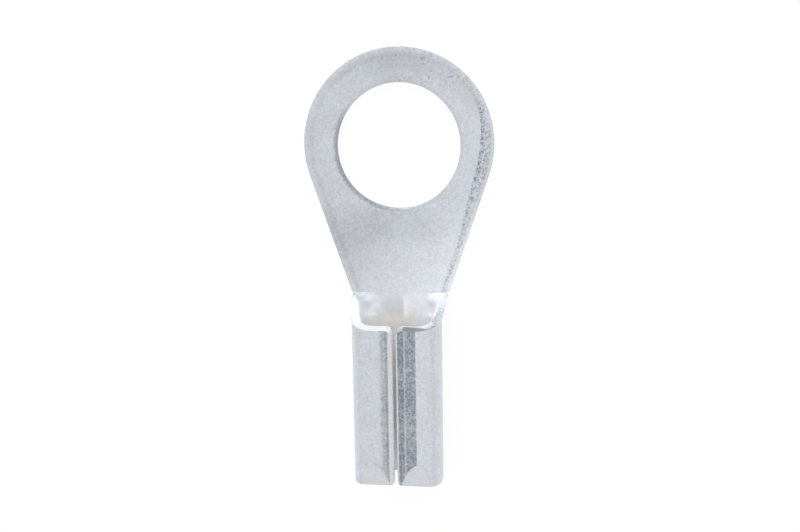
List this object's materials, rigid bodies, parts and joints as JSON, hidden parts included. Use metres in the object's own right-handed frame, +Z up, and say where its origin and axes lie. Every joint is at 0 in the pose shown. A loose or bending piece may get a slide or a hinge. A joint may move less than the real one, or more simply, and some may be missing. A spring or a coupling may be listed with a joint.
{
  "type": "ring terminal",
  "caption": "Uninsulated crimp ring terminal: a flat stud ring on a tapered tongue, with a rolled wire barrel that closes in a top seam.",
  "frame": {"origin": "centre of the stud hole on the underside", "axes": "+Z up out of the flat ring, -Y along the wire barrel towards the wire, +X to the right seen from above with the ring away"},
  "size_m": [0.016, 0.0364, 0.0048],
  "materials": {
    "tin_plate": "satin tin plating over copper, finely mottled"
  },
  "bodies": {
    "root": {"ring_terminal": "tin_plate"}
  },
  "joints": []
}
